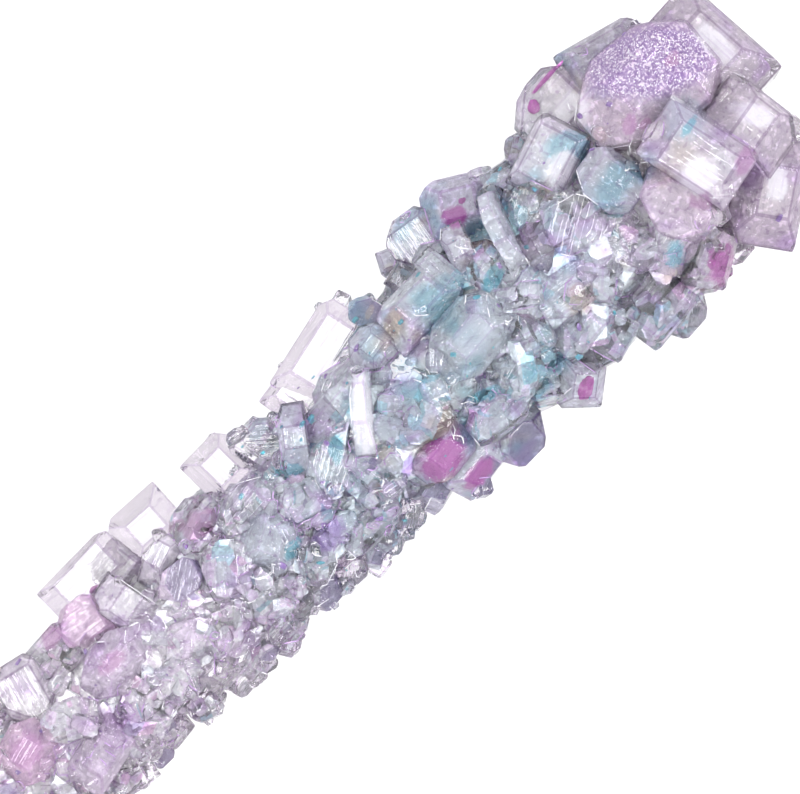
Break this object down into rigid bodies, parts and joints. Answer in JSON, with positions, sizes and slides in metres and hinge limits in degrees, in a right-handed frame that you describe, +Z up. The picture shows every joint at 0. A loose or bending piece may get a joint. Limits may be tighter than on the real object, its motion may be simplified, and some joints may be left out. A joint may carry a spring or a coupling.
{
  "type": "rock candy stick",
  "caption": "Rock candy on a wooden stick: clear, pale lilac and blue sugar crystals grown round the stick, wider at the head, lying on its side.",
  "frame": {"origin": "middle of the footprint, on the surface that the candy lies on", "axes": "+X along the stick from its bare end to the head of the candy, +Z up to the shown side, +Y across; the stick climbs 3 degrees towards +X"},
  "size_m": [0.1627, 0.0308, 0.0269],
  "materials": {
    "sugar_crystal": "clear to milky sugar crystal, pale lilac to blue-grey, with teal seams and pink spots of colouring",
    "stick_wood": "bare birch, fine grain, dull"
  },
  "bodies": {
    "root": {"crystals": "sugar_crystal", "stick": "stick_wood"}
  },
  "joints": []
}
